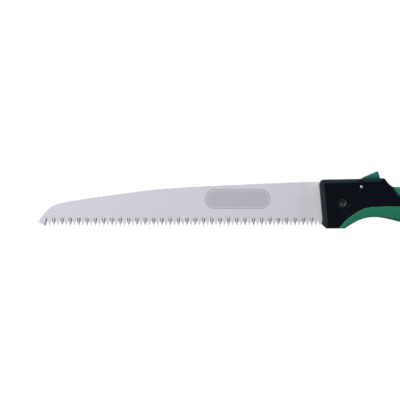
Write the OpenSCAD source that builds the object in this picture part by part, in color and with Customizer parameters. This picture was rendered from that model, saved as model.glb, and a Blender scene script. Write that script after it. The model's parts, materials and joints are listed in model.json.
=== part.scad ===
// Folding pruning saw: a toothed blade that folds into the underside of a two-shell handle.
// X runs along the saw (blade tip at -X), Z is up (blade back up, teeth down) and Y is across it,
// with the blade's mid-plane at Y = 0. Millimetres.
// The modules are written with the blade pivot at (0, 0, 0). The whole saw is then placed so that
// the origin is the centre of the hang hole at the butt.

/* [Blade] */
// Distance from the pivot to the blade's foremost point
blade_reach = 277.7; // [274:0.1:278]
// Thickness of the blade
blade_t = 1.6; // [1.2:0.1:2.0]
// Distance from the pivot down to the tooth tips
tooth_line = 20.9; // [20:0.1:21]
// Distance from one tooth tip to the next
tooth_pitch = 3.806; // [3.2:0.001:4.4]
// Depth of the gullets between the teeth
tooth_depth = 5.2; // [4:0.1:6]
// Height of the blade's back above the pivot at the head
blade_back = 20.1; // [19:0.1:20.4]

/* [Handle] */
// Thickness of the handle from side to side
handle_t = 25; // [24:0.5:28]
// Width of the slot that the blade folds into
slot_w = 3.3; // [3.2:0.1:3.6]
// Radius of the crowned sides of the grip
crown_r = 60; // [50:1:80]
// Thickness of the soft grip around the edge of the shell
grip_skin = 2.4; // [1.5:0.1:3]
// Width of the groove between shell and soft grip
groove_w = 0.6; // [0.3:0.1:1]
// Height of the spine above the folded teeth
spine_h = 7.5; // [7:0.5:8]

/* [Motion] */
// Angle that the blade folds through
fold_angle = 168; // [167:0.5:169]
// Angle that the lock lever rocks through
press_angle = 8; // [5:0.5:9]

/* [Pivot and lock] */
// Radius of the pivot bolt's head
bolt_head_r = 4.2; // [3.8:0.1:4.6]
// Radius of the pivot bush
bush_r = 4.5; // [4.2:0.1:5]
// Radius of the lock pin
pin_r = 1.4; // [1.2:0.1:1.5]
// Running clearance of each pivot, on the radius
running_gap = 0.05; // [0.02:0.01:0.1]
// Radius of the hang hole
hang_r = 4; // [3:0.1:4.5]

/* [Hidden] */
$fn = 64;
half_t = handle_t / 2;
half_slot = slot_w / 2;
over = 1;                               // how far a cutter runs past the face it cuts
fit_gap = 0.02;                         // gap between parts that are fitted together

// Places, measured from the blade pivot as [x, z]
pin_at = [16.7, 14.6];                  // lock pin
hang_at = [282.5, -58];                 // hang hole
head_front = -21;                       // front edge of the head
head_top = 21.5;
head_foot = -23.2;                      // flat underside of the head
front_bevel = [4.5, 2.4];               // bevels along the head's edges, as [width, depth]
top_bevel = [3.6, 1.8];
foot_bevel = [1.6, 1.2];

// The teeth, from the nose to the head
nose_run = 6;                           // from the blade's foremost point back to the first tooth
first_tooth = nose_run - blade_reach;
tooth_count = ceil((head_front - first_tooth) / tooth_pitch) + 1;

// Height of the folded tooth line at x
function folded_teeth(x) = (tooth_line - x * sin(fold_angle)) / -cos(fold_angle);

// The tang, by radius and angle about the pivot
tang_low_r = 16.3;                      // sector that the lever's nose rides over
tang_high_r = 18.6;                     // sector that stops the nose when the blade is folded
nose_r = 16.5;                          // end of the lever's nose
nose_front_x = -0.7;
nose_back_angle = 78;
stop_gap = 0.2;                         // gap between nose and shoulder at each limit
heel_x = -17;                           // back edge of the blade below the tang

// The lever and its thumb pad
lever_t = 2.2;
lever_hub_r = 3;
shim_r = 2.7;
shim_t = half_slot - lever_t / 2 - 0.1;
lever_top = 21.2;
lever_under = 18.6;
lever_end = 25.5;
lever_arc_r = 19;                       // underside of the front arm, about the blade pivot
pad_w = 10;
pad_front = 17.3;
pad_back = 34.2;
pad_base = 19.8;
tail_top = 24;                          // top of the lever's tail, inside the pad
tail_under_from = 2.6;                  // the tail's underside starts this far behind pad_front
pad_peak = 29;
pad_heel = [pad_back, pad_base + 0.4] - pin_at;     // lower back corner, from the lock pin
// The recess under the thumb pad leaves room for that corner to swing back and down
recess_gap = 0.6;
recess_front = pad_front - 1;
recess_back = pin_at[0] + pad_heel * [cos(press_angle), sin(press_angle)] + recess_gap;
recess_floor = pin_at[1] + pad_heel * [-sin(press_angle), cos(press_angle)] - recess_gap / 2;
// Notch in the head's top edge, beside the thumb pad
pad_notch = [[16.6, 23.5], [20, 20.3], [33.3, 20.3], [34.7, 23.5]];
pin_sink_r = 2.6;
pin_sink = 0.9;                         // depth of the counterbore around the lock pin
spring_x = 29.6;
spring_r = 2.4;
spring_wire = 0.6;
spring_turns = 4;
spring_top = 24.2;

// The pivot stack, outwards from the mid-plane
washer_r = 9;
side_gap = 0.05;                        // gap at each side of a washer or shim
washer_in = blade_t / 2 + side_gap;
washer_out = half_slot - side_gap;
bush_half = 7;
bolt_r = 3;
bolt_head_t = 3.6;
bolt_recess = 1.4;
bolt_sink_r = 5.4;                      // counterbore around the bolt's head and the nut
socket_r = 2.4;                         // hexagon socket, corner radius
socket_floor = 0.8;                     // metal left under the socket
spring_washer_t = 0.8;
spring_washer_inset = 0.4;              // the washer ends this far inside the nut's corners
nut_r = 5.2;                            // hexagon nut, corner radius
seat_y = half_t - bolt_recess - bolt_head_t;

// The spine spacer, screws and eyelet
spine_gap = 1.2;                        // between the folded teeth and the spacer
spine_front = 37.5;
spine_inset = 0.6;                      // the spacer lies this far inside the shells' edge
butt_r = blade_reach + 2.4;             // inside of the butt, about the pivot
screw_r = 1.4;
screw_head_r = 2.4;
screw_head_t = 2.2;
screw_head_gap = 0.2;
screw_seat = 5;
screw_end = 6.2;
insert_r = 2.1;
insert_below = 0.4;                     // the insert runs this far past the screw's end
screw_hole_gap = 0.1;
hex_key = 1.2;                          // hexagon socket of the screws, corner radius
hex_key_t = 1.3;                        // depth of that socket
boss_r = 3;                             // shell's boss around each screw
band_screws = [for (x = [100, 160, 220]) [x, folded_teeth(x) + 3.7]];
butt_screws = [[284.5, -42], [278.2, -67.5]];
screws_at = concat(band_screws, butt_screws);
eyelet_r = 5.2;
eyelet_flange_r = 6.8;
eyelet_flange_t = 1;
eyelet_sink = 0.2;                      // the eyelet's flanges lie this far below the sides

// The grip and the bevels
core_y = 7.5;                           // outer face of the shell under the soft grip
slot_lip = 0.4;                         // the soft grip stops this far short of the slot
crown_from = 47;                        // where the flat head ends and the crowned grip begins
crown_inset = 0.3;                      // the crown lies this far inside the flat head's face
butt_cap_x = 264;                       // where the soft grip ends at the butt

// Curves ---------------------------------------------------------------------------------------

function bend(p, q, r, s, t) = ((2 * q) + (r - p) * t + (2 * p - 5 * q + 4 * r - s) * t ^ 2
    + (3 * q - p - 3 * r + s) * t ^ 3) / 2;

// A smooth curve through the points
function curve(points, steps = 6) = let (last = len(points) - 1) [
    for (i = [0 : last - 1], k = [0 : steps - 1])
        bend(points[max(i - 1, 0)], points[i], points[i + 1], points[min(i + 2, last)], k / steps),
    points[last]
];

// An arc about a centre, from one angle to another
function arc(centre, r, from, to, steps = 8) = [
    for (i = [0 : steps]) let (a = from + (to - from) * i / steps) centre + r * [cos(a), sin(a)]
];

// Helpers --------------------------------------------------------------------------------------

// A flat shape drawn in X and Z, given depth from y0 out to y1 on the left (-Y) side
module slab(y0, y1) {
    translate([0, -y0, 0]) rotate([90, 0, 0]) linear_extrude(y1 - y0) children();
}

// A cylinder across the saw at [x, z], from y0 to y1
module across(at, r, y0, y1, sides = $fn) {
    translate([at[0], y0, at[1]]) rotate([-90, 0, 0]) cylinder(r = r, h = y1 - y0, $fn = sides);
}

// A ring across the saw at [x, z]
module ring(at, r_in, r_out, y0, y1) {
    difference() {
        across(at, r_out, y0, y1);
        across(at, r_in, y0 - over, y1 + over);
    }
}

// A wedge that bevels the left face along the edge from a to b, by size = [width, depth]; side
// is 1 where the material lies to the left of that direction, -1 where it lies to the right
module bevel_cut(a, b, size, side) {
    width = size[0];
    depth = size[1];
    edge = b - a;
    run = norm(edge) + 2 * over;
    translate([a[0], -half_t, a[1]])
        rotate([0, -atan2(edge[1], edge[0]), 0])
            translate([-over, 0, 0]) rotate([90, 0, 90]) linear_extrude(run)
                polygon([[depth * (1 + over / width), -side * over],
                    [-over, side * width * (1 + over / depth)], [-over, -side * over]]);
}

module right_hand() {
    mirror([0, 1, 0]) children();
}

module on_hang_hole() {
    translate([-hang_at[0], 0, -hang_at[1]]) children();
}

// Blade ----------------------------------------------------------------------------------------

module blade_outline() {
    from_nose = [[0.5, -14.6], [6.9, -6.7], [15.2, -1.2], [38, 3.5], [102.1, 12.05], [147.9, 15.4],
        [193.7, 17.5]];
    back = curve(concat([for (p = from_nose) [p[0] - blade_reach, p[1]]], [[head_front, blade_back]]));
    stop_angle = fold_angle - nose_back_angle;
    tang = concat(
        [[nose_front_x - stop_gap, blade_back]],
        arc([0, 0], tang_low_r, acos((nose_front_x - stop_gap) / tang_low_r), -stop_angle - 0.6, 32),
        arc([0, 0], tang_high_r, -stop_angle - 0.6, -acos(heel_x / tang_high_r), 16));
    heel = [[heel_x, tooth_depth - tooth_line]];
    teeth = [for (i = [tooth_count - 1 : -1 : 0]) let (x = first_tooth + i * tooth_pitch)
        each [[x + tooth_pitch / 2, tooth_depth - tooth_line], [x, -tooth_line]]];
    nose = [[-blade_reach + 1.4, 2.6 - tooth_line], [-blade_reach, 3.5 - tooth_line],
        [-blade_reach, 5.2 - tooth_line]];
    polygon(concat(back, tang, heel, teeth, nose));
}

module blade() {
    color("lightgray") difference() {
        translate([0, blade_t / 2, 0]) slab(0, blade_t) blade_outline();
        across([0, 0], bush_r + running_gap, -half_t, half_t);
    }
}

// Handle ---------------------------------------------------------------------------------------

// Side view of the handle, both shells and grips together
module handle_outline() {
    front = [[head_front - 0.6, 17.4], [head_front + 2.4, -15.6], [head_front + 1.9, -17],
        [head_front + 2.1, -19.2], [head_front + 6.4, head_foot]];
    underside = curve([[1.4, head_foot], [6.7, -19.8], [14, -15.8], [21.3, -13.5], [30, -12.8],
        [39.6, -14.1], [50.6, -16.6], [75, -22.4], [100, -28.6], [130, -35.5], [175, -44],
        [215, -51.5], [250, -61.5], [268, -69.5], [278, -72.5], [287, -69], [291, -58],
        [289.5, -45], [283, -34.5]]);
    spine = curve(concat(
        [for (x = [272, 250, 215, 175, 130, 90]) [x, folded_teeth(x) + spine_h]],
        [[65, 13.6], [52, 14.7], [47, 14.7], [45.1, 15], [41.5, 17.7], [37.8, 22.3]]));
    top = [[36, 22.7], [14, 22]];
    corner = arc([head_front + 3.4, head_top - 3.5], 3.5, 90, 175);
    polygon(concat(front, underside, spine, top, corner));
}

// The part of the side view that the soft grip covers, grown by a margin
module grip_area(margin) {
    lower = curve([[-3.9, -24.5], [-3.2, -22.3], [1.2, -16.9], [5.3, -13.4], [13.3, -7.9], [18.3, -5.5],
        [23, -4.2], [30.5, -3.5], [52, -3.3], [80, -6.5], [125, -15.5]]);
    upper = curve([[100, -9.5], [75, -3], [60, 0.8], [52, 6], [45.5, 14.5], [40.5, 24]]);
    offset(delta = margin) polygon(concat(lower, upper,
        [[butt_cap_x - 8, 24], [butt_cap_x - 8, -20], [butt_cap_x, -40], [butt_cap_x - 8, -90],
            [-3.9, -90]]));
}

// Long bar with a crowned side, running back and down along the grip
module crown_bar() {
    reach = 30;                         // half angle of the crown's arc
    translate([crown_from, 0, -1]) rotate([0, 270 - fold_angle, 0]) translate([0, 0, -10])
        linear_extrude(300) polygon(concat(
            arc([0, crown_r + crown_inset - half_t], crown_r, -90 - reach, -90 + reach, 16),
            [[crown_r / 2, 0], [-crown_r / 2, 0]]));
}

// One half of the handle's outer form: a flat head with bevelled edges and a crowned grip
module side_form() {
    difference() {
        intersection() {
            slab(half_slot, half_t) handle_outline();
            union() {
                slab(0, half_t) translate([head_front - 5, -40]) square([crown_from - head_front + 5, 80]);
                crown_bar();
            }
        }
        bevel_cut([head_front + 2.5, head_foot], [head_front - 0.6, 17.4], front_bevel, -1);
        bevel_cut([head_front, head_top], [36, 22.7], top_bevel, -1);
        bevel_cut([head_front, head_foot], [2, head_foot], foot_bevel, 1);
    }
}

module screw_bosses(r) {
    for (at = screws_at) across(at, r, -core_y, -half_slot);
}

// One shell without its holes
module shell_blank() {
    intersection() {
        side_form();
        union() {
            slab(0, half_t) difference() {
                handle_outline();
                grip_area(groove_w);
            }
            slab(0, core_y) difference() {
                handle_outline();
                grip_area(fit_gap);
            }
        }
    }
    slab(half_slot, core_y) intersection() {
        offset(delta = -grip_skin) handle_outline();
        grip_area(groove_w);
    }
    screw_bosses(boss_r);
}

// Holes that both shells share, cut on the left side
module shell_holes() {
    across([0, 0], bush_r + fit_gap, -half_t - over, 0);
    across([0, 0], bolt_sink_r, -half_t - over, -seat_y);
    across(pin_at, pin_r + fit_gap, -half_t - over, 0);
    across(pin_at, pin_sink_r, -half_t - over, pin_sink - half_t);
    translate([0, half_t, 0]) slab(0, 3 * half_t) polygon(pad_notch);
    translate([recess_front, -pad_w / 2 - recess_gap, recess_floor])
        cube([recess_back - recess_front, pad_w / 2 + recess_gap + over, 20]);
    across(hang_at, eyelet_r + fit_gap, -half_t - over, 0);
    across(hang_at, eyelet_flange_r + 5 * fit_gap, -half_t - over, eyelet_flange_t - half_t);
}

module left_shell() {
    color([0.06, 0.07, 0.09]) difference() {
        shell_blank();
        shell_holes();
        for (at = screws_at) across(at, insert_r + fit_gap, -screw_end - insert_below - fit_gap, 0);
    }
}

module right_shell() {
    color([0.06, 0.07, 0.09]) right_hand() difference() {
        shell_blank();
        shell_holes();
        for (at = screws_at) {
            across(at, screw_r + screw_hole_gap, -half_t, 0);
            across(at, screw_head_r + screw_head_gap, -half_t - over, -screw_seat);
        }
    }
}

// One soft grip, moulded over the shell's core and around its edge
module grip_blank() {
    difference() {
        intersection() {
            side_form();
            union() {
                slab(core_y, half_t + over) grip_area(0);
                slab(half_slot + slot_lip, core_y) difference() {
                    grip_area(0);
                    offset(delta = -grip_skin) handle_outline();
                }
            }
        }
        screw_bosses(boss_r + fit_gap);
    }
}

module left_grip() {
    color([0.14, 0.43, 0.33]) grip_blank();
}

module right_grip() {
    color([0.14, 0.43, 0.33]) right_hand() difference() {
        grip_blank();
        for (at = band_screws) across(at, screw_head_r + screw_head_gap, -half_t - over, 0);
    }
}

// Strip between the shells: closes the slot along the spine and around the butt
module spine_spacer() {
    color("dimgray") difference() {
        translate([0, half_slot, 0]) slab(0, slot_w) intersection() {
            offset(delta = -spine_inset) handle_outline();
            union() {
                polygon([[spine_front, folded_teeth(spine_front) + spine_gap], [spine_front, 60],
                    [330, 60], [330, folded_teeth(330) + spine_gap]]);
                difference() {
                    translate([butt_r - 24, -90]) square([60, 70]);
                    circle(r = butt_r, $fn = 360);
                }
            }
        }
        for (at = screws_at) across(at, screw_r + screw_hole_gap, -half_t, half_t);
        across(hang_at, eyelet_r + fit_gap, -half_t, half_t);
    }
}

// Pivot ----------------------------------------------------------------------------------------

module pivot_bolt() {
    color([0.1, 0.1, 0.11]) difference() {
        union() {
            across([0, 0], bolt_head_r, -half_t + bolt_recess, -seat_y);
            across([0, 0], bolt_r, -seat_y - over, half_t - bolt_recess - over);
        }
        across([0, 0], socket_r, -half_t - over, -seat_y - socket_floor, 6);
    }
}

module pivot_bush() {
    color("silver") ring([0, 0], bolt_r + running_gap, bush_r, -bush_half, bush_half);
}

module spring_washer() {
    color("silver") ring([0, 0], bolt_r + 2 * running_gap, nut_r - spring_washer_inset, seat_y + fit_gap,
        seat_y + fit_gap + spring_washer_t);
}

module pivot_nut() {
    color([0.1, 0.1, 0.11]) difference() {
        across([0, 0], nut_r, seat_y + spring_washer_t + 2 * fit_gap, half_t - bolt_recess, 6);
        across([0, 0], bolt_r + fit_gap, 0, half_t + over);
    }
}

module thrust_washer() {
    color([0.72, 0.55, 0.32]) ring([0, 0], bush_r + running_gap, washer_r, -washer_out, -washer_in);
}

// Lock -----------------------------------------------------------------------------------------

// Steel rocker: nose in front, hub on the lock pin, tail under the thumb pad
module lock_lever() {
    color("gray") difference() {
        translate([0, lever_t / 2, 0]) slab(0, lever_t) {
            difference() {
                polygon(concat(
                    [[nose_front_x, nose_r], [nose_front_x, lever_top]],
                    [[pad_front, lever_top], [pad_front + 4, tail_top], [lever_end, tail_top],
                        [lever_end, lever_under], [pad_front + tail_under_from, lever_under]],
                    arc(pin_at, lever_hub_r, -10, -150),
                    [nose_r * [cos(nose_back_angle), sin(nose_back_angle)]]));
                difference() {
                    circle(r = lever_arc_r, $fn = 180);
                    polygon([[nose_front_x - over, 0], 30 * [cos(nose_back_angle), sin(nose_back_angle)],
                        [nose_front_x - over, 30]]);
                    translate(pin_at) circle(r = lever_hub_r);
                }
                circle(r = nose_r, $fn = 180);
            }
        }
        across(pin_at, pin_r + running_gap, -half_t, half_t);
    }
}

// Green pad that the thumb presses, moulded over the lever's tail
module thumb_pad() {
    color([0.12, 0.4, 0.37]) difference() {
        translate([0, pad_w / 2, 0]) slab(0, pad_w) polygon(concat(
            [[pad_front, pad_base]],
            curve([[pad_front, 22.8], [20.3, 24.4], [24.1, 26], [27.8, 27.5], [31.3, pad_peak],
                [32.4, 28.4], [33.1, 26.8], [pad_back, 22.9]]),
            [[pad_back, pad_base + 0.4]]));
        translate([0, lever_t / 2, 0]) slab(0, lever_t)
            polygon([[0, 0], [0, lever_top], [pad_front, lever_top], [pad_front + 4, tail_top],
                [lever_end, tail_top], [lever_end, 0]]);
        translate([spring_x, 0, 0]) cylinder(r = spring_r + spring_wire, h = spring_top);
    }
}

module lock_pin() {
    color("silver") across(pin_at, pin_r, pin_sink / 2 - half_t, half_t - pin_sink / 2);
}

module lever_shims() {
    color("silver") {
        for (side = [-1, 1]) translate([0, side * (half_slot + lever_t / 2) / 2, 0])
            ring(pin_at, pin_r + running_gap, shim_r, -shim_t / 2, shim_t / 2);
    }
}

// Coil spring between the recess floor and the thumb pad
module lock_spring() {
    sides = 8;
    rings = spring_turns * 20;
    wire_r = spring_wire / 2;
    low = recess_floor + wire_r + side_gap;
    high = spring_top - wire_r - side_gap;
    points = [for (i = [0 : rings], k = [0 : sides - 1])
        let (a = 360 * spring_turns * i / rings, b = -360 * k / sides, r = spring_r + wire_r * cos(b))
            [spring_x + r * cos(a), r * sin(a), low + (high - low) * i / rings + wire_r * sin(b)]];
    walls = [for (i = [0 : rings - 1], k = [0 : sides - 1]) let (n = (k + 1) % sides)
        [i * sides + k, i * sides + n, (i + 1) * sides + n, (i + 1) * sides + k]];
    ends = [[for (k = [sides - 1 : -1 : 0]) k], [for (k = [0 : sides - 1]) rings * sides + k]];
    color("silver") polyhedron(points, concat(walls, ends));
}

// Fasteners and eyelet -------------------------------------------------------------------------

module handle_screws() {
    color([0.15, 0.15, 0.16]) for (at = screws_at) difference() {
        union() {
            across(at, screw_r, -screw_end, screw_seat + over);
            across(at, screw_head_r, screw_seat, screw_seat + screw_head_t);
        }
        across(at, hex_key, screw_seat + screw_head_t - hex_key_t, half_t, 6);
    }
}

module threaded_inserts() {
    color("goldenrod") for (at = screws_at)
        ring(at, screw_r + fit_gap, insert_r, -screw_end - insert_below, -half_slot);
}

module hang_eyelet() {
    color("silver") difference() {
        union() {
            across(hang_at, eyelet_r, eyelet_sink - half_t, half_t - eyelet_sink);
            across(hang_at, eyelet_flange_r, eyelet_sink - half_t, eyelet_flange_t - half_t);
            across(hang_at, eyelet_flange_r, half_t - eyelet_flange_t, half_t - eyelet_sink);
        }
        across(hang_at, hang_r, -half_t - over, half_t + over);
    }
}

on_hang_hole() blade();
on_hang_hole() left_shell();
on_hang_hole() right_shell();
on_hang_hole() left_grip();
on_hang_hole() right_grip();
on_hang_hole() spine_spacer();
on_hang_hole() pivot_bolt();
on_hang_hole() pivot_nut();
on_hang_hole() spring_washer();
on_hang_hole() pivot_bush();
on_hang_hole() thrust_washer();  // left_thrust_washer
on_hang_hole() right_hand() thrust_washer();  // right_thrust_washer
on_hang_hole() lock_lever();
on_hang_hole() thumb_pad();
on_hang_hole() lock_pin();
on_hang_hole() lever_shims();
on_hang_hole() lock_spring();
on_hang_hole() handle_screws();
on_hang_hole() threaded_inserts();
on_hang_hole() hang_eyelet();
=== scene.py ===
"""Looks of the folding pruning saw: ground steel blade, moulded black handle with soft green grips."""

import json
import math

import bmesh
import bpy
import numpy as np
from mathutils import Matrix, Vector
from mathutils.geometry import delaunay_2d_cdt

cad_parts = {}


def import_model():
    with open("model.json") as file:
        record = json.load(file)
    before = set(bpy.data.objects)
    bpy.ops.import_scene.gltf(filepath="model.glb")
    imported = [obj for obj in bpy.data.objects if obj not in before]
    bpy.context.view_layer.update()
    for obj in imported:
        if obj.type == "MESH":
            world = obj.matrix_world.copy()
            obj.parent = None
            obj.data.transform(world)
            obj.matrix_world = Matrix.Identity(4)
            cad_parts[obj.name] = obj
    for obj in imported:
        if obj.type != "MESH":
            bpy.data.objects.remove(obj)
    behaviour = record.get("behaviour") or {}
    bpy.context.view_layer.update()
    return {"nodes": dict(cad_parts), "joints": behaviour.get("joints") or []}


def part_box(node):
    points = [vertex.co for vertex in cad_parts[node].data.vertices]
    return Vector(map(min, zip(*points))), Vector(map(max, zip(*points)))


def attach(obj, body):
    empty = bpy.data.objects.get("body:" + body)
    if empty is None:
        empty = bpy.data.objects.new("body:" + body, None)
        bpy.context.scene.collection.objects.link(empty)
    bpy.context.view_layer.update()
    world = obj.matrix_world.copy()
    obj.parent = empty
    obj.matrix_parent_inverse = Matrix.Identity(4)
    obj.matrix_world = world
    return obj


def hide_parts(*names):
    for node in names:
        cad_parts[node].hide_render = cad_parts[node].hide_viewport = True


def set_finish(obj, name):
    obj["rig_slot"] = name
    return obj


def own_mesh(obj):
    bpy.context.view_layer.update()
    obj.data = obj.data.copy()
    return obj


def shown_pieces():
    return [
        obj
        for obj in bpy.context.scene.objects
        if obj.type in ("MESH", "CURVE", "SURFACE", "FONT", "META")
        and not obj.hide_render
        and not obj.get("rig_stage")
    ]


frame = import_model()

MM = 0.001
JOINTS = {joint["name"]: joint for joint in frame["joints"]}
PIVOT = Vector(JOINTS["blade_fold"]["pos_m"])
PIN = (Vector(JOINTS["lock_press"]["pos_m"]) - PIVOT) / MM
FOLD_DEG = JOINTS["blade_fold"]["range_deg"][1]


# Places -------------------------------------------------------------------------------------
# Pieces are drawn in millimetres from the blade pivot: x towards the butt, z up, y across.

def node_box(node):
    """Lowest and highest corner of a CAD node, in millimetres from the pivot."""
    low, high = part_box(node)
    return (low - PIVOT) / MM, (high - PIVOT) / MM


def in_row(points):
    """Points in millimetres from the pivot, as metres in the row frame."""
    return [tuple(PIVOT + Vector(p) * MM) for p in points]


BLADE_LOW, BLADE_HIGH = node_box("blade")
SHELL_LOW, SHELL_HIGH = node_box("left_shell")
BLADE_T = BLADE_HIGH.y - BLADE_LOW.y
HALF_T = -SHELL_LOW.y                       # half the handle's thickness
HALF_SLOT = -SHELL_HIGH.y                   # half the slot's width
CORE_Y = HALF_T - 5.0                       # outer face of the shell under the soft grip
SECTION_Y = CORE_Y + 0.2                    # just outside the core, where both outlines show
GRIP_BASE_Y = -node_box("left_grip")[1].y   # inner edge of the soft grip


def section_loops(node, y):
    """The closed outlines, as lists of (x, z), where the plane at y cuts a CAD node. The cut's edges
    are taken in the mesh's own order, so that the outlines are the same in every run."""
    mesh = bmesh.new()
    mesh.from_mesh(frame["nodes"][node].data)
    bmesh.ops.remove_doubles(mesh, verts=mesh.verts, dist=1e-6)
    plane = PIVOT + Vector((0, y * MM, 0))
    cut = bmesh.ops.bisect_plane(mesh, geom=mesh.verts[:] + mesh.edges[:] + mesh.faces[:],
                                 dist=1e-7, plane_co=plane, plane_no=(0, 1, 0))["geom_cut"]
    edges = dict.fromkeys(edge for edge in cut if isinstance(edge, bmesh.types.BMEdge))
    loops = []
    while edges:
        edge = next(iter(edges))
        edges.pop(edge)
        start, here = edge.verts
        loop = [start, here]
        while here is not start:
            edge = next((e for e in here.link_edges if e in edges), None)
            if edge is None:
                break
            edges.pop(edge)
            here = edge.other_vert(here)
            loop.append(here)
        places = [(vert.co - PIVOT) / MM for vert in loop[:-1]]
        loops.append(corners_only(tidy_loop([(place.x, place.z) for place in places])))
    mesh.free()
    return sorted((loop for loop in loops if len(loop) > 2), key=lambda loop: -abs(area(loop)))


def area(loop):
    x, z = np.array(loop).T
    return 0.5 * float(np.dot(x, np.roll(z, -1)) - np.dot(z, np.roll(x, -1)))


def tidy_loop(loop, apart=0.02):
    """Drops repeated points and turns the loop anticlockwise."""
    kept = []
    for point in loop:
        if not kept or math.dist(point, kept[-1]) > apart:
            kept.append(point)
    if len(kept) > 2 and math.dist(kept[0], kept[-1]) <= apart:
        kept.pop()
    return kept if len(kept) < 3 or area(kept) > 0 else kept[::-1]


def corners_only(loop, straight_deg=0.3):
    """The loop without the points that lie along its straight stretches."""
    points = [Vector(point) for point in loop]
    count = len(points)
    kept = []
    for i, point in enumerate(points):
        turn = (point - points[i - 1]).angle(points[(i + 1) % count] - point, 0)
        if math.degrees(turn) > straight_deg:
            kept.append(tuple(point))
    first = min(range(len(kept)), key=lambda i: kept[i])
    return kept[first:] + kept[:first]


def resample(loop, step, corner_deg=20):
    """Even points along a loop, keeping its sharp corners."""
    count = len(loop)
    points = [Vector(point) for point in loop]
    out = []
    for i, point in enumerate(points):
        before, after = points[i - 1], points[(i + 1) % count]
        turn = (point - before).angle(after - point, 0)
        keep = math.degrees(turn) > corner_deg
        if keep or not out or (point - out[-1]).length >= step * 0.6:
            out.append(point)
        gap = (after - point).length
        pieces = int(gap / step)
        for k in range(1, pieces + 1):
            out.append(point.lerp(after, k / (pieces + 1)))
    return tidy_loop([tuple(point) for point in out], apart=step * 0.15)


class Outline:
    """Loops with, at each point, the radius that the edge there is rounded to."""

    def __init__(self, loops, step, radius):
        self.loops = [np.array(resample(loop, step)) for loop in loops]
        self.starts = np.concatenate(self.loops)
        self.ends = np.concatenate([np.roll(loop, -1, 0) for loop in self.loops])
        along = np.concatenate([np.roll(loop, -1, 0) - np.roll(loop, 1, 0) for loop in self.loops])
        along /= np.linalg.norm(along, axis=1)[:, None]
        self.inward = np.stack([-along[:, 1], along[:, 0]], 1)
        self.radii = np.array([radius(x, z) for x, z in self.starts])
        for loop_index, loop in enumerate(self.loops):
            if area(loop) > 0 and self.inside_one(loop, loop_index):
                first = sum(len(other) for other in self.loops[:loop_index])
                self.inward[first:first + len(loop)] *= -1

    def inside_one(self, loop, loop_index):
        """Whether a loop is a hole, lying inside another loop."""
        inside = sum(inside_loop(other, loop[:1])[0]
                     for index, other in enumerate(self.loops) if index != loop_index)
        return inside % 2 == 1

    def nearest(self, points):
        """Distance to the outline, and the edge's radius there."""
        points = np.asarray(points, float)
        run = self.ends - self.starts
        length = (run ** 2).sum(1)
        best = np.full(len(points), 1e9)
        radii = np.zeros(len(points))
        for first in range(0, len(points), 2000):
            block = points[first:first + 2000, None, :]
            t = np.clip(((block - self.starts) * run).sum(2) / length, 0, 1)
            gap = np.linalg.norm(block - (self.starts + t[..., None] * run), axis=2)
            index = gap.argmin(1)
            best[first:first + 2000] = gap[np.arange(len(index)), index]
            radii[first:first + 2000] = self.radii[index]
        return best, radii

    def inside(self, points):
        """Whether each point is inside the outline, by the even-odd rule."""
        return sum(inside_loop(loop, points).astype(int) for loop in self.loops) % 2 == 1


def inside_loop(loop, points):
    points = np.asarray(points, float)
    crossings = np.zeros(len(points), int)
    for (x0, z0), (x1, z1) in zip(loop, np.roll(loop, -1, 0)):
        spans = (z0 > points[:, 1]) != (z1 > points[:, 1])
        if spans.any():
            at = x0 + (points[:, 1] - z0) * (x1 - x0) / (z1 - z0)
            crossings += spans & (points[:, 0] < at)
    return crossings % 2 == 1


ROUND_STEPS = [10, 22, 35, 50, 68, 90]      # degrees round a quarter-round edge


def edge_drop(gap, radius):
    """How far an edge's rounding lowers the face, a distance gap in from the edge."""
    inward = np.clip(radius - gap, 0, None)
    return radius - np.sqrt(np.clip(radius ** 2 - inward ** 2, 0, None))


def face_points(outline, spacing, extra):
    """Points for the mesh of a moulded face: rings along its edges, the extra points, and an even
    grid between."""
    rings = []
    for degrees in ROUND_STEPS:
        step = outline.radii * (1 - math.cos(math.radians(degrees)))
        ring = outline.starts + outline.inward * step[:, None]
        gap = outline.nearest(ring)[0]
        rings.append(ring[(gap > step * 0.93) & (step > 0.01) & outline.inside(ring)])
    extra = np.array(extra, float).reshape(-1, 2)
    extra = extra[(outline.nearest(extra)[0] > 0.2) & outline.inside(extra)]
    low, high = outline.starts.min(0), outline.starts.max(0)
    rows = np.arange(low[1], high[1], spacing * 0.87)
    columns = np.arange(low[0], high[0], spacing)
    grid = np.array([(x + 0.5 * (row % 2) * spacing, z) for row, z in enumerate(rows) for x in columns])
    gap, radius = outline.nearest(grid)
    clear = gap > radius + 0.35 * spacing
    if len(extra):
        cells = {(round(x / spacing), round(z / spacing)) for x, z in extra}
        clear &= np.array([(round(x / spacing), round(z / spacing)) not in cells for x, z in grid])
    return np.concatenate(rings + [extra, grid[clear & outline.inside(grid)]])


def moulding(name, outline, base, height, spacing=1.6, extra=(), both=False):
    """A closed solid on the left side: flat at y = -base, its outer face at -height(x, z), with the
    outline's edges rounded. extra holds further points for the face's mesh; with both, the right
    side mirrors the left."""
    edges = []
    first = 0
    for loop in outline.loops:
        edges += [(first + i, first + (i + 1) % len(loop)) for i in range(len(loop))]
        first += len(loop)
    points = [Vector(p) for p in np.concatenate([outline.starts, face_points(outline, spacing, extra)])]
    flat, _, faces, _, _, _ = delaunay_2d_cdt(points, edges, [], 0, 1e-5)
    flat = np.array([tuple(p) for p in flat])
    centres = np.array([flat[list(face)].mean(0) for face in faces])
    faces = [face for face, kept in zip(faces, outline.inside(centres)) if kept]
    level = height(flat[:, 0], flat[:, 1]) - edge_drop(*outline.nearest(flat))
    outer = [(x, -y, z) for (x, z), y in zip(flat, level)]
    inner = [(x, y if both else -base, z) for (x, z), y in zip(flat, level)]
    return closed_between(name, outer, inner, faces)


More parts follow.
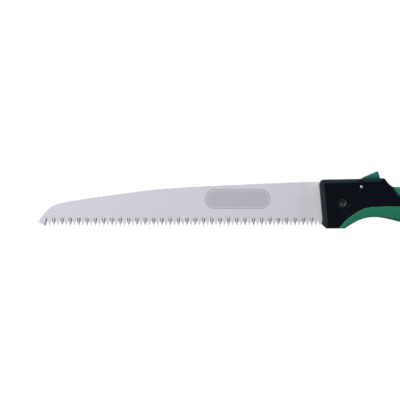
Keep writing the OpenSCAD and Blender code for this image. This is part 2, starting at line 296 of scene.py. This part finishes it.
def closed_between(name, outer, inner, faces):
    """A solid from two matching sheets of points, joined by walls along the sheets' edges."""
    count = len(outer)
    solid, uses = [], set()
    for face in faces:
        (ax, _, az), (bx, _, bz), (cx, _, cz) = (outer[i] for i in face[:3])
        turn = (bx - ax) * (cz - az) - (bz - az) * (cx - ax)
        face = list(face) if turn > 0 else list(face)[::-1]
        solid += [face, [i + count for i in face[::-1]]]
        uses |= {(start, face[(i + 1) % len(face)]) for i, start in enumerate(face)}
    walls = [(start, end) for start, end in uses if (end, start) not in uses]
    solid += [[start, start + count, end + count, end] for start, end in sorted(walls)]
    return new_mesh(name, outer + inner, solid)


def new_mesh(name, points, faces, smooth_deg=38):
    """A mesh piece from points in millimetres from the pivot."""
    mesh = bpy.data.meshes.new(name)
    mesh.from_pydata(in_row(points), [], faces)
    work = bmesh.new()
    work.from_mesh(mesh)
    loose = [vert for vert in work.verts if not vert.link_faces]
    bmesh.ops.delete(work, geom=loose, context="VERTS")
    bmesh.ops.remove_doubles(work, verts=work.verts, dist=2e-6)
    bmesh.ops.recalc_face_normals(work, faces=work.faces)
    work.to_mesh(mesh)
    work.free()
    piece = bpy.data.objects.new(name, mesh)
    bpy.context.scene.collection.objects.link(piece)
    smooth(piece, smooth_deg)
    return piece


def smooth(piece, degrees):
    mesh = piece.data
    mesh.shade_smooth()
    mesh.set_sharp_from_angle(angle=math.radians(degrees))


def joined(name, *pieces):
    """One piece holding the meshes of several."""
    work = bmesh.new()
    for piece in pieces:
        work.from_mesh(piece.data)
        bpy.data.objects.remove(piece)
    mesh = bpy.data.meshes.new(name)
    work.to_mesh(mesh)
    work.free()
    piece = bpy.data.objects.new(name, mesh)
    bpy.context.scene.collection.objects.link(piece)
    return piece


def sheet(loops):
    """Points and faces of the flat region inside the loops."""
    points = [Vector(point) for loop in loops for point in loop]
    edges, first = [], 0
    for loop in loops:
        edges += [(first + i, first + (i + 1) % len(loop)) for i in range(len(loop))]
        first += len(loop)
    flat, _, faces, _, _, _ = delaunay_2d_cdt(points, edges, [], 0, 1e-5)
    flat = np.array([tuple(p) for p in flat])
    centres = np.array([flat[list(face)].mean(0) for face in faces])
    kept = sum(inside_loop(np.array(loop), centres).astype(int) for loop in loops) % 2 == 1
    return flat, [face for face, keep in zip(faces, kept) if keep]


def slab(name, loops, inner, outer):
    """A flat solid on the left side, from y = -inner out to y = -outer."""
    flat, faces = sheet(loops)
    return closed_between(name, [(x, -outer, z) for x, z in flat], [(x, -inner, z) for x, z in flat], faces)


HEX = "hex"


def turned(name, at, rings, closed=False, sides=72):
    """A solid turned about an axis across the saw at (x, z), from rings (radius, y). A ring
    (radius, y, HEX) is a hexagon of that corner radius. Closed joins the last ring to the first."""
    points, faces = [], []
    for ring in rings:
        radius, y = ring[:2]
        for k in range(sides):
            angle = 2 * math.pi * k / sides
            r = radius
            if len(ring) > 2:
                r *= math.cos(math.pi / 6) / math.cos(angle % (math.pi / 3) - math.pi / 6)
            points.append((at[0] + r * math.cos(angle), y, at[1] + r * math.sin(angle)))
    count = len(rings)
    for i in range(count if closed else count - 1):
        a, b = i * sides, ((i + 1) % count) * sides
        faces += [(a + k, a + (k + 1) % sides, b + (k + 1) % sides, b + k) for k in range(sides)]
    if not closed:
        faces += [tuple(range(sides)), tuple(range((count - 1) * sides, count * sides))]
    return new_mesh(name, points, faces)


def swept(name, path, section):
    """A solid swept along a path of points, its section given as (outward, up) from the path."""
    points, faces = [], []
    sides = len(section)
    for centre, outward, up in path:
        points += [tuple(centre + outward * a + up * b) for a, b in section]
    for i in range(len(path) - 1):
        a, b = i * sides, (i + 1) * sides
        faces += [(a + k, a + (k + 1) % sides, b + (k + 1) % sides, b + k) for k in range(sides)]
    faces += [tuple(range(sides)), tuple(range(len(points) - sides, len(points)))]
    return new_mesh(name, points, faces)


def circle(radius, sides=12):
    return [(radius * math.cos(2 * math.pi * k / sides), radius * math.sin(2 * math.pi * k / sides))
            for k in range(sides)]


# Handle -------------------------------------------------------------------------------------

DROOP = math.radians(180 - FOLD_DEG)        # the handle falls away from the blade's line
CROWN_R = 60.0                              # radius of the grip's crowned sides
CROWN_INSET = 0.3
HEAD_BACK = SHELL_LOW.x + 68                # the flat head blends into the crown around here
RIDGE_Z = -1.0                              # height of the crown's ridge there
HEAD_TOP = SHELL_HIGH.z
FRONT_BEVEL = (4.5, 2.4, 10)                # width, depth and how far back it reaches
TOP_BEVEL = (3.6, 1.8, 36)
FOOT_BEVEL = (1.6, 1.2, 3)
HEAD_BEVELS = [((-1, 0), FRONT_BEVEL), ((0, 1), TOP_BEVEL), ((0, -1), FOOT_BEVEL)]
FRONT_X = SHELL_LOW.x
GROOVE_R, HEAD_R = 0.45, 0.55               # edge radii of the shell
SINK_R, PIN_SINK = 2.6, 0.9                 # counterbore around the lock pin
SINK_RINGS = (1.9, 2.3, SINK_R - 0.15, SINK_R - 0.03, SINK_R + 0.1, SINK_R + 0.25)
RECESS_Y = 5.6                              # half width of the recess under the thumb pad
OUTLINE_STEP = 0.9


def ease(value, start, end):
    t = np.clip((np.asarray(value, float) - start) / (end - start), 0, 1)
    return t * t * (3 - 2 * t)


def above_ridge(x, z):
    """Distance above the line that the crown of the grip runs along, down to the butt."""
    return (x - HEAD_BACK) * math.sin(DROOP) + (z - RIDGE_Z) * math.cos(DROOP)


def side_height(x, z):
    """How far out the handle's side lies, before its edges are rounded."""
    off_ridge = np.clip(above_ridge(x, z), -40, 40)
    crowned = HALF_T - CROWN_INSET - CROWN_R + np.sqrt(CROWN_R ** 2 - off_ridge ** 2)
    share = ease(x, HEAD_BACK - 12, HEAD_BACK + 14)
    return HALF_T * (1 - share) + crowned * share


class Bevel:
    """A flat bevel along the longest straight stretch of an outline that faces one way."""

    def __init__(self, loop, facing, width, depth, end):
        points = [Vector(p) for p in loop]
        edges = [(p, points[(i + 1) % len(points)]) for i, p in enumerate(points)]
        facing = Vector(facing)
        edges = [(a, b) for a, b in edges if Vector((b.y - a.y, a.x - b.x)).normalized().dot(facing) > 0.9]
        edges = [(a, b) for a, b in edges if max(a.x, b.x) < end]
        self.start, finish = max(edges, key=lambda edge: (edge[1] - edge[0]).length)
        self.along = (finish - self.start).normalized()
        self.inward = Vector((-self.along.y, self.along.x))
        self.width, self.depth, self.end = width, depth, end

    def drop(self, x, z):
        gap = (x - self.start.x) * self.inward.x + (z - self.start.y) * self.inward.y
        past = np.clip((self.width + RIDGE - gap) / (2 * RIDGE), 0, None)
        slope = self.depth / self.width
        drop = slope * RIDGE * np.where(past < 1, past ** 2, 2 * past - 1)
        return drop * (1 - ease(x, self.end - 3, self.end + 1))

    def ridge(self):
        """Points along the bevel's inner line and just beside it."""
        places = np.arange(-60, 60, 0.8)
        return [tuple(self.start + self.along * t + self.inward * (self.width + side * RIDGE))
                for t in places for side in (-1, 0, 1)]


RIDGE = 0.35                                # half width of the softened ridge of a bevel


def pin_sink(x, z):
    """Depth of the shallow counterbore around the lock pin."""
    return PIN_SINK * (1 - ease(np.hypot(x - PIN.x, z - PIN.z), SINK_R - 0.15, SINK_R + 0.1))


def shell_radius(x, z):
    return HEAD_R + (1.6 - HEAD_R) * float(ease(x, 45, 80))


SEAM_REACH = 8.8                            # edges this near the ridge are seams, not the outside


def grip_radius(shell_outline):
    """The soft grip's edge: crisp along the groove, fuller around the outside further back."""
    def radius(x, z):
        if abs(above_ridge(x, z)) < SEAM_REACH:
            return GROOVE_R
        from_shell = shell_outline.nearest([(x, z)])[0][0]
        outside = 1.3 + 4.0 * float(ease(x, 40, 95)) - 2.5 * float(ease(x, 235, 262))
        return GROOVE_R + (outside - GROOVE_R) * float(ease(from_shell, 0.9, 7))
    return radius


def shell(side):
    node = side + "_shell"
    sign = -1 if side == "left" else 1
    loops = section_loops(node, sign * SECTION_Y)
    outer = Outline(loops, OUTLINE_STEP, shell_radius)
    bevels = [Bevel(loops[0], facing, *size) for facing, size in HEAD_BEVELS]

    def height(x, z):
        return side_height(x, z) - pin_sink(x, z) - np.max([bevel.drop(x, z) for bevel in bevels], axis=0)

    angles = np.radians(np.arange(0, 360, 9))
    extra = [(PIN.x + r * math.cos(a), PIN.z + r * math.sin(a)) for r in SINK_RINGS for a in angles]
    extra += [point for bevel in bevels for point in bevel.ridge() if point[0] < bevel.end]
    corner = np.arange(0, FRONT_BEVEL[0] + 0.5, 0.5)
    extra += [(FRONT_X + 0.6 + a, HEAD_TOP - 1.6 - b) for a in corner for b in corner]
    face = moulding(side + "_face", outer, CORE_Y - 0.1, height, extra=extra)
    inner = slab(side + "_inner", section_loops(node, sign * 3), HALF_SLOT, RECESS_Y)
    middle = slab(side + "_middle", section_loops(node, sign * 6), RECESS_Y - 0.05, CORE_Y)
    finished(joined(side + "_shell_moulded", face, inner, middle), side, node, "handle", "black_plastic")
    return outer


def grip(side, shell_outline):
    node = side + "_grip"
    sign = -1 if side == "left" else 1
    outer = Outline(section_loops(node, sign * SECTION_Y), OUTLINE_STEP, grip_radius(shell_outline))
    piece = moulding(side + "_grip_moulded", outer, GRIP_BASE_Y, side_height)
    return finished(piece, side, node, "handle", "green_grip")


def finished(piece, side, node, body, slot):
    """Puts a piece on its side of the saw, on its body, in place of its CAD node."""
    if side == "right":
        for vert in piece.data.vertices:
            vert.co.y = -vert.co.y
        piece.data.flip_normals()
    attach(piece, body)
    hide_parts(node)
    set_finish(piece, slot)
    return piece


for side in ("left", "right"):
    grip(side, shell(side))


# Blade --------------------------------------------------------------------------------------

BACK_CHAMFER = 0.3
CHAMFER_DEPTH = 0.7 * BACK_CHAMFER
FACET_TOP = 8.1                             # the ground facets reach this far above the tooth tips
NOSE_SHARE = 0.382                          # the first tooth is ground this far along the nose's edge


def blade():
    """The blade: every other tooth is ground on the left face, and those between on the right."""
    loops = section_loops("blade", 0)
    outline, hole = loops[0], loops[1]
    tip_z = BLADE_LOW.z
    tips = sorted(x for x, z in outline if abs(z - tip_z) < 0.01)
    pitch = (tips[-1] - tips[0]) / (len(tips) - 1)
    root_z = min(z for x, z in outline if tips[0] + 0.3 < x < tips[1] - 0.3)
    flank = pitch / 2 / (root_z - tip_z)    # sideways run of a tooth's flank per millimetre of height
    shift = 2 * flank * FACET_TOP - pitch   # grinding moves the flanks in by this much
    toward = (pitch - shift) / 2
    last_root = tips[-1] + 0.75 * pitch

    def ground(index, face):
        """Whether a tooth is ground on a face, 0 left or 1 right. The last tooth is left plain."""
        return index % 2 == face and index < len(tips) - 1

    def root(x, z, face):
        """The gullet behind the tooth at x, drawn back to where its ground facets end."""
        before = math.floor((x - tips[0]) / pitch)
        if ground(before, face):
            return tips[0] + before * pitch + toward, tip_z + FACET_TOP
        if ground(before + 1, face):
            return tips[0] + (before + 1) * pitch - toward, tip_z + FACET_TOP
        return x, z

    left, right, rim = [], [], []
    count = len(outline)
    for i, (x, z) in enumerate(outline):
        if abs(z - tip_z) < 0.01:
            index = round((x - tips[0]) / pitch)
            drawn_back = (x, tip_z + shift / flank)
            if index == 0:
                nose = min(outline[i - 1], outline[(i + 1) % count])
                drawn_back = tuple(Vector((x, z)).lerp(Vector(nose), NOSE_SHARE))
            left.append(drawn_back if ground(index, 0) else (x, z))
            right.append(drawn_back if ground(index, 1) else (x, z))
            rim.append(None)
        elif tips[0] < x < last_root and z < root_z + 0.01:
            left.append(root(x, z, 0))
            right.append(root(x, z, 1))
            rim.append(None)
        else:
            before, after = Vector(outline[i - 1]), Vector(outline[(i + 1) % count])
            along = (after - before).normalized()
            inset = Vector((x, z)) + Vector((-along.y, along.x)) * BACK_CHAMFER
            left.append(tuple(inset))
            right.append(tuple(inset))
            rim.append((x, z))
    half = BLADE_T / 2
    rings = [[(x, -half, z) for x, z in left]]
    for y in (CHAMFER_DEPTH - half, half - CHAMFER_DEPTH):
        share = (y + half) / BLADE_T
        ring = []
        for (ax, az), (bx, bz), edge in zip(left, right, rim):
            x, z = edge or (ax + (bx - ax) * share, az + (bz - az) * share)
            ring.append((x, y, z))
        rings.append(ring)
    rings.append([(x, half, z) for x, z in right])
    hole_rings = [[(x, y, z) for x, z in hole[::-1]] for y in (-half, half)]
    faces = []
    for i in range(len(rings) - 1):
        a, b = i * count, (i + 1) * count
        faces += [(a + k, a + (k + 1) % count, b + (k + 1) % count, b + k) for k in range(count)]
    base = len(rings) * count
    sides = len(hole)
    faces += [(base + k, base + (k + 1) % sides, base + sides + (k + 1) % sides, base + sides + k)
              for k in range(sides)]
    points = [p for ring in rings + hole_rings for p in ring]
    for y, face in ((-half, left), (half, right)):
        flat, triangles = sheet([face, hole])
        first = len(points)
        points += [(x, y, z) for x, z in flat]
        faces += [[first + i for i in triangle] for triangle in triangles]
    piece = new_mesh("blade_ground", points, faces, smooth_deg=14)
    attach(piece, "blade")
    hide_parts("blade")
    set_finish(piece, "blade_steel")
    return piece


blade()


# Lock and pivot -----------------------------------------------------------------------------

def thumb_pad():
    loops = section_loops("thumb_pad", -4)
    low, high = node_box("thumb_pad")
    outer = Outline(loops, 0.5, lambda x, z: 0.9 if z > low.z + 0.8 else 0.05)
    half = high.y
    piece = moulding("thumb_pad_moulded", outer, half, lambda x, z: np.full_like(x, half), spacing=0.9,
                     both=True)
    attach(piece, "lever")
    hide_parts("thumb_pad")
    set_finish(piece, "green_pad")
    return piece


BOLT_HEAD_T = 3.6
BOLT_R = 3.0                                # radius of the pivot bolt's shank


def pivot_bolt():
    """Socket head with a hexagon socket, drilled to a shallow cone at its floor."""
    low, high = node_box("pivot_bolt")
    head_r = (high.x - low.x) / 2
    front, seat = low.y, low.y + BOLT_HEAD_T
    rings = [(0.05, front + 3.45), (1.9, front + 2.6), (2.25, front + 2.5, HEX),
             (2.4, front + 0.35, HEX), (2.75, front + 0.12), (3.0, front + 0.02),
             (head_r - 0.75, front), (head_r - 0.3, front + 0.12), (head_r - 0.07, front + 0.4),
             (head_r, front + 0.75), (head_r, seat), (BOLT_R, seat), (BOLT_R, high.y - 0.4),
             (BOLT_R - 0.4, high.y)]
    piece = turned("pivot_bolt_turned", (0, 0), rings)
    return fitted(piece, "pivot_bolt", "handle", "black_steel")


def pivot_nut():
    low, high = node_box("pivot_nut")
    corner = (high.x - low.x) / 2
    hole = BOLT_R + 0.02
    rings = [(hole, low.y), (corner, low.y, HEX), (corner, high.y - 0.5, HEX), (corner * 0.87, high.y),
             (hole + 0.35, high.y), (hole, high.y - 0.35)]
    return fitted(turned("pivot_nut_turned", (0, 0), rings, closed=True), "pivot_nut", "handle",
                  "black_steel")


def lock_pin():
    low, high = node_box("lock_pin")
    radius = (high.x - low.x) / 2
    rings = []
    for end, inward in ((low.y, 1), (high.y, -1)):
        dome = [(radius * math.sin(math.radians(a)), end + inward * 0.5 * (1 - math.cos(math.radians(a))))
                for a in (8, 25, 45, 65, 80, 90)]
        rings += dome if inward > 0 else dome[::-1]
    return fitted(turned("lock_pin_turned", (PIN.x, PIN.z), rings, sides=40), "lock_pin", "handle",
                  "bright_steel")


def hang_eyelet():
    low, high = node_box("hang_eyelet")
    at = ((low.x + high.x) / 2, (low.z + high.z) / 2)
    rim = (high.x - low.x) / 2
    hole = rim - 2.8
    half = []
    for a in (0, 20, 45, 70, 90):
        c, s = math.cos(math.radians(a)), math.sin(math.radians(a))
        half.append((rim - 0.3 * (1 - c), high.y - 0.35 * (1 - s)))
    for a in (90, 65, 40, 20, 0):
        c, s = math.cos(math.radians(a)), math.sin(math.radians(a))
        half.append((hole + 1.1 * (1 - c), high.y - 1.1 * (1 - s)))
    under = [(rim - 1.6, high.y - 0.8), (rim, high.y - 0.8)]
    rings = [(r, -y) for r, y in (under + half)[::-1]]
    rings = under + half + rings
    return fitted(turned("hang_eyelet_rolled", at, rings, closed=True), "hang_eyelet", "handle",
                  "plain_steel")


def lock_spring():
    low, high = node_box("lock_spring")
    wire = 0.3
    centre = (low + high) / 2
    radius = (high.x - low.x) / 2 - wire
    turns, steps = 5.5, 150
    path = []
    for i in range(steps + 1):
        t = i / steps
        angle = 2 * math.pi * turns * t
        outward = Vector((math.cos(angle), math.sin(angle), 0))
        rise = min(max((turns * t - 0.75) / (turns - 1.5), 0), 1)
        closed_turns = 2 * wire * (min(turns * t, 0.75) + max(turns * t - turns + 0.75, 0))
        height = (high.z - low.z - 2 * wire - 3 * wire) * rise + closed_turns
        path.append((Vector((centre.x, centre.y, low.z + wire + height)) + outward * radius, outward,
                     Vector((0, 0, 1))))
    piece = fitted(swept("lock_spring_coil", path, circle(wire)), "lock_spring", "handle", "spring_steel")
    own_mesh(piece)
    return piece


def fitted(piece, node, body, slot):
    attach(piece, body)
    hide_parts(node)
    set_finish(piece, slot)
    return piece


for make in (thumb_pad, pivot_bolt, pivot_nut, lock_pin, hang_eyelet, lock_spring):
    make()


# Materials ----------------------------------------------------------------------------------

class Nodes:
    """Builds one node material: a principled surface with procedural detail in millimetres."""

    def __init__(self, name, colour, roughness, metallic=0.0, specular=0.5):
        self.material = bpy.data.materials.new(name)
        self.material.use_nodes = True
        self.tree = self.material.node_tree
        self.shader = self.tree.nodes["Principled BSDF"]
        self.set("Base Color", (*linear(colour), 1))
        self.set("Roughness", roughness)
        self.set("Metallic", metallic)
        self.set("Specular IOR Level", specular)
        self.height = None
        place = self.add("ShaderNodeTexCoord").outputs["Object"]
        scale = self.add("ShaderNodeVectorMath", operation="MULTIPLY_ADD")
        self.link(place, scale.inputs[0])
        scale.inputs[1].default_value = (1 / MM,) * 3
        scale.inputs[2].default_value = tuple(-PIVOT / MM)
        self.place = scale.outputs[0]

    def set(self, name, value):
        self.shader.inputs[name].default_value = value

    def add(self, kind, **settings):
        node = self.tree.nodes.new(kind)
        for key, value in settings.items():
            setattr(node, key, value)
        return node

    def link(self, source, target):
        self.tree.links.new(source, target)

    def math(self, operation, a, b=0.0, c=0.0):
        node = self.add("ShaderNodeMath", operation=operation)
        for socket, value in zip(node.inputs, (a, b, c)):
            if isinstance(value, (int, float)):
                socket.default_value = value
            else:
                self.link(value, socket)
        return node.outputs[0]

    def noise(self, size, stretch=(1, 1, 1), detail=3.0, rough=0.55):
        """Noise from 0 to 1 whose features are about size millimetres across."""
        scale = self.add("ShaderNodeVectorMath", operation="MULTIPLY")
        self.link(self.place, scale.inputs[0])
        scale.inputs[1].default_value = tuple(1 / (size * s) for s in stretch)
        node = self.add("ShaderNodeTexNoise")
        node.inputs["Scale"].default_value = 1.0
        node.inputs["Detail"].default_value = detail
        node.inputs["Roughness"].default_value = rough
        self.link(scale.outputs[0], node.inputs["Vector"])
        return node.outputs[0]

    def ramp(self, value, start, end, low, high):
        """Goes smoothly from low to high as value goes from start to end."""
        node = self.add("ShaderNodeMapRange", interpolation_type="SMOOTHSTEP")
        for key, number in zip(("From Min", "From Max", "To Min", "To Max"), (start, end, low, high)):
            node.inputs[key].default_value = number
        self.link(value, node.inputs["Value"])
        return node.outputs["Result"]

    def vary(self, name, amount, value):
        """Makes a number of the shader follow value (0 to 1) by amount either way."""
        middle = self.shader.inputs[name].default_value
        self.link(self.math("MULTIPLY_ADD", value, 2 * amount, middle - amount), self.shader.inputs[name])

    def tint(self, other, value):
        """Mixes the base colour towards other by value."""
        mix = self.add("ShaderNodeMix", data_type="RGBA")
        source = self.shader.inputs["Base Color"]
        if source.is_linked:
            self.link(source.links[0].from_socket, mix.inputs["A"])
        else:
            mix.inputs["A"].default_value = source.default_value
        mix.inputs["B"].default_value = (*linear(other), 1)
        self.link(value, mix.inputs["Factor"])
        self.link(mix.outputs["Result"], source)

    def bump(self, value, depth_mm):
        node = self.add("ShaderNodeBump")
        node.inputs["Distance"].default_value = depth_mm * MM
        node.inputs["Strength"].default_value = 1.0
        self.link(value, node.inputs["Height"])
        if self.height:
            self.link(self.height, node.inputs["Normal"])
        self.height = node.outputs[0]
        self.link(self.height, self.shader.inputs["Normal"])

    def facing(self):
        """How squarely the surface faces across the saw: 1 or -1 on the blade's flat sides."""
        split = self.add("ShaderNodeSeparateXYZ")
        self.link(self.add("ShaderNodeNewGeometry").outputs["True Normal"], split.inputs[0])
        return split.outputs["Y"]

    def axes(self):
        split = self.add("ShaderNodeSeparateXYZ")
        self.link(self.place, split.inputs[0])
        return split.outputs


def linear(colour):
    """A colour given as 0 to 255, as Blender's linear numbers."""
    values = [c / 255 for c in colour]
    return tuple(v / 12.92 if v <= 0.04045 else ((v + 0.055) / 1.055) ** 2.4 for v in values)


def black_plastic():
    m = Nodes("black_plastic", (3, 7, 13), 0.27, specular=0.24)
    m.set("Specular Tint", (*linear((222, 240, 255)), 1))
    grain = m.noise(0.35)
    m.vary("Roughness", 0.08, m.noise(6))
    m.tint((8, 12, 19), m.noise(9, detail=2.0))
    m.bump(grain, 0.015)
    # painted shade: the plastic's sheen is taken off around the thumb pad's notch
    painted_shade_by_the_pad(m)
    return m.material


def painted_shade_by_the_pad(m):
    """Takes most of the sheen off the plastic around the thumb pad: painted shade down by the pad's notch.
    """
    low, high = node_box("thumb_pad")
    x, y, z = m.axes()
    along = m.math("ABSOLUTE", m.math("SUBTRACT", x, (low.x + high.x) / 2))
    half = (high.x - low.x) / 2
    near = m.ramp(along, half + 1, half + 7, 1.0, 0.0)
    raised = m.ramp(z, low.z - 4, low.z - 1, 0.0, 1.0)
    sheen = m.shader.inputs["Specular IOR Level"]
    m.link(m.math("MULTIPLY_ADD", m.math("MULTIPLY", near, raised), -0.17, sheen.default_value), sheen)


def rubber(name, colour, shade):
    return rubber_nodes(name, colour, shade).material


def rubber_nodes(name, colour, shade):
    m = Nodes(name, colour, 0.45, specular=0.2)
    m.tint(shade, m.noise(14, detail=2.0))
    m.vary("Roughness", 0.1, m.noise(5))
    m.bump(m.noise(0.5), 0.03)
    return m


PAD_PAINTED_SHADE = (25.5, 21.0, 0.0, 0.95)          # painted shade sets in from here down to here, by this much


def pad_plastic():
    """The thumb pad's green plastic, painted darker down in its notch, where it lies in shade."""
    m = rubber_nodes("green_pad", (26, 104, 94), (22, 96, 86))
    m.tint((10, 40, 38), m.ramp(m.axes()["Z"], *PAD_PAINTED_SHADE))
    return m.material


HEEL_PAINTED_LIGHT = (-36, -19, 0.0, 0.8)             # painted light: the steel is painted brighter from here to here, towards the head, by this much


def blade_steel():
    m = Nodes("blade_steel", (226, 226, 235), 0.4, metallic=0.35)
    brushed = m.noise(0.5, stretch=(60, 1, 1), detail=4.0)
    m.vary("Roughness", 0.06, brushed)
    m.tint((208, 208, 218), brushed)
    m.bump(brushed, 0.004)
    # Faces sloping off the flat sides, the ground facets and the edges, carry less metal and a darker tint;
    # the tint is painted shade for how they turn from the light.
    sloping = m.math("LESS_THAN", m.math("ABSOLUTE", m.facing()), 0.95)
    m.tint((198, 198, 204), sloping)
    m.link(m.math("MULTIPLY_ADD", sloping, -0.32, 0.35), m.shader.inputs["Metallic"])
    # painted light: the steel is brightened towards the head, against the shade the head casts there
    m.tint((252, 252, 255), m.ramp(m.axes()["X"], *HEEL_PAINTED_LIGHT))
    etched_bar(m)
    return m.material


BAR_CENTRE = (BLADE_LOW.x + 181.8, 3.7)     # of the etched bar, as x and z
BAR_HALF = (30.0, 9.0)                      # half the bar's length and height
BAR_RIM = 1.0                               # width of the line around it
HATCH_PITCH = 2.4


def etched_bar(m):
    """A plain hatched bar etched on the blade's sides."""
    x, y, z = m.axes()
    (centre_x, centre_z), (half_x, half_z) = BAR_CENTRE, BAR_HALF
    along = m.math("ABSOLUTE", m.math("SUBTRACT", x, centre_x))
    up = m.math("ABSOLUTE", m.math("SUBTRACT", z, centre_z))
    reach = m.math("MAXIMUM", m.math("SUBTRACT", along, half_x - half_z), 0.0)
    radius = m.math("SQRT", m.math("ADD", m.math("POWER", reach, 2.0), m.math("POWER", up, 2.0)))
    inside = m.math("LESS_THAN", radius, half_z - 1.6 * BAR_RIM)
    rim = m.math("COMPARE", radius, half_z - BAR_RIM / 2, BAR_RIM / 2)
    wave = m.math("SINE", m.math("MULTIPLY", m.math("ADD", x, z), 2 * math.pi / HATCH_PITCH))
    hatch = m.math("MULTIPLY_ADD", m.math("GREATER_THAN", wave, 0.0), 0.5, 0.5)
    mark = m.math("MAXIMUM", m.math("MULTIPLY", inside, hatch), rim)
    m.tint((150, 150, 160), m.math("MULTIPLY", mark, 0.6))


def steel(name, colour, roughness, size=0.3, metallic=1.0):
    m = Nodes(name, colour, roughness, metallic=metallic)
    fine = m.noise(size, detail=4.0)
    m.vary("Roughness", 0.07, fine)
    m.tint([c * 0.86 for c in colour], m.noise(2.5))
    m.bump(fine, 0.006)
    return m.material


MATERIALS = {
    "blade_steel": blade_steel(),
    "black_plastic": black_plastic(),
    "green_grip": rubber("green_grip", (31, 110, 84), (28, 104, 80)),
    "green_pad": pad_plastic(),
    "spacer_plastic": steel("spacer_plastic", (38, 40, 44), 0.55, metallic=0.0),
    "black_steel": steel("black_steel", (74, 78, 86), 0.28),
    "plain_steel": steel("plain_steel", (170, 172, 176), 0.32),
    "bright_steel": steel("bright_steel", (218, 219, 226), 0.32),
    "spring_steel": steel("spring_steel", (150, 152, 158), 0.28, size=0.15),
    "bronze": steel("bronze", (176, 128, 76), 0.36),
    "brass": steel("brass", (206, 172, 96), 0.3),
}
NODE_SLOTS = {
    "spine_spacer": "spacer_plastic", "spring_washer": "plain_steel", "pivot_bush": "plain_steel",
    "left_thrust_washer": "bronze", "right_thrust_washer": "bronze", "lock_lever": "plain_steel",
    "lever_shims": "plain_steel", "handle_screws": "black_steel", "threaded_inserts": "brass",
}
NODE_BEVEL = {"spine_spacer": 0.3, "lock_lever": 0.15}


def dress():
    for name, slot_name in NODE_SLOTS.items():
        piece = frame["nodes"][name]
        bevel = piece.modifiers.new("edges", "BEVEL")
        bevel.width = NODE_BEVEL.get(name, 0.1) * MM
        bevel.segments = 2
        bevel.limit_method = "ANGLE"
        bevel.angle_limit = math.radians(40)
        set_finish(piece, slot_name)
    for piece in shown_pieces():
        piece.data.materials.clear()
        piece.data.materials.append(MATERIALS[piece["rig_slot"]])


dress()


# Stage --------------------------------------------------------------------------------------

def area_light(name, place, size, power, target):
    """A soft square light at a place in metres from the target, aimed at it."""
    lamp = bpy.data.lights.new(name, "AREA")
    lamp.size = size
    lamp.energy = power
    holder = bpy.data.objects.new(name, lamp)
    holder.location = target + Vector(place)
    holder.rotation_euler = Vector(place).to_track_quat("Z", "Y").to_euler()
    bpy.context.scene.collection.objects.link(holder)


def world(low, high):
    """White to the camera; for lighting, a soft dome that is dim where the camera stands."""
    surroundings = bpy.data.worlds.new("studio")
    surroundings.use_nodes = True
    tree = surroundings.node_tree
    nodes, links = tree.nodes, tree.links
    background = nodes["Background"]
    path = nodes.new("ShaderNodeLightPath")
    place = nodes.new("ShaderNodeTexCoord")
    split = nodes.new("ShaderNodeSeparateXYZ")
    ramp = nodes.new("ShaderNodeMapRange")
    ramp.interpolation_type = "SMOOTHSTEP"
    ramp.inputs["From Min"].default_value = -0.92
    ramp.inputs["From Max"].default_value = -0.45
    ramp.inputs["To Min"].default_value = low
    ramp.inputs["To Max"].default_value = high
    mix = nodes.new("ShaderNodeMix")
    mix.inputs["B"].default_value = 1.0
    links.new(place.outputs["Generated"], split.inputs[0])
    links.new(split.outputs["Y"], ramp.inputs["Value"])
    links.new(ramp.outputs["Result"], mix.inputs["A"])
    links.new(path.outputs["Is Camera Ray"], mix.inputs["Factor"])
    background.inputs["Color"].default_value = (1, 1, 1, 1)
    links.new(mix.outputs["Result"], background.inputs["Strength"])
    bpy.context.scene.world = surroundings


FLOOR_GAP = 10.0                            # below the lowest place that the folding blade reaches


def floor():
    """A large pale floor, mostly lit from within so that it reads as plain white."""
    level = PIVOT.z + (BLADE_LOW.x - FLOOR_GAP) * MM
    mesh = bpy.data.meshes.new("floor")
    reach = 12.0
    mesh.from_pydata([(-reach, -reach, level), (reach, -reach, level), (reach, reach, level),
                      (-reach, reach, level)], [], [(0, 1, 2, 3)])
    plane = bpy.data.objects.new("floor", mesh)
    bpy.context.scene.collection.objects.link(plane)
    material = bpy.data.materials.new("floor")
    material.use_nodes = True
    shader = material.node_tree.nodes["Principled BSDF"]
    shader.inputs["Base Color"].default_value = (0.12, 0.12, 0.12, 1)
    shader.inputs["Roughness"].default_value = 0.9
    shader.inputs["Specular IOR Level"].default_value = 0.0
    shader.inputs["Emission Color"].default_value = (1, 1, 1, 1)
    nodes, links = material.node_tree.nodes, material.node_tree.links
    glow = nodes.new("ShaderNodeMapRange")
    glow.inputs["To Min"].default_value = 0.05
    glow.inputs["To Max"].default_value = 0.95
    links.new(nodes.new("ShaderNodeLightPath").outputs["Is Camera Ray"], glow.inputs["Value"])
    links.new(glow.outputs["Result"], shader.inputs["Emission Strength"])
    mesh.materials.append(material)
    plane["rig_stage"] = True


VIEW_CENTRE = (BLADE_LOW.x + 147.4, 0, 2.75)    # middle of the picture
VIEW_DISTANCE = 2.034                           # metres from there to the camera


def camera():
    scene = bpy.context.scene
    lens = bpy.data.cameras.new("camera")
    lens.lens = 200
    lens.sensor_width = 36
    lens.clip_start, lens.clip_end = 0.1, 60
    seat = bpy.data.objects.new("camera", lens)
    target = PIVOT + Vector(VIEW_CENTRE) * MM
    seat.location = target - Vector((0, VIEW_DISTANCE, 0))
    seat.rotation_euler = (math.radians(90), 0, 0)
    scene.collection.objects.link(seat)
    scene.camera = seat
    scene.view_settings.view_transform = "Standard"
    return target


target = camera()
world(0.06, 1.75)
area_light("key", (-1.0, -0.75, 0.8), 0.6, 19, target)
area_light("fill", (0.9, -0.5, 0.9), 0.8, 5, target)
area_light("back", (0.2, 0.9, 0.6), 0.8, 7, target)
area_light("side", (-1.1, -0.74, 0.0), 0.7, 1.7, target)
floor()
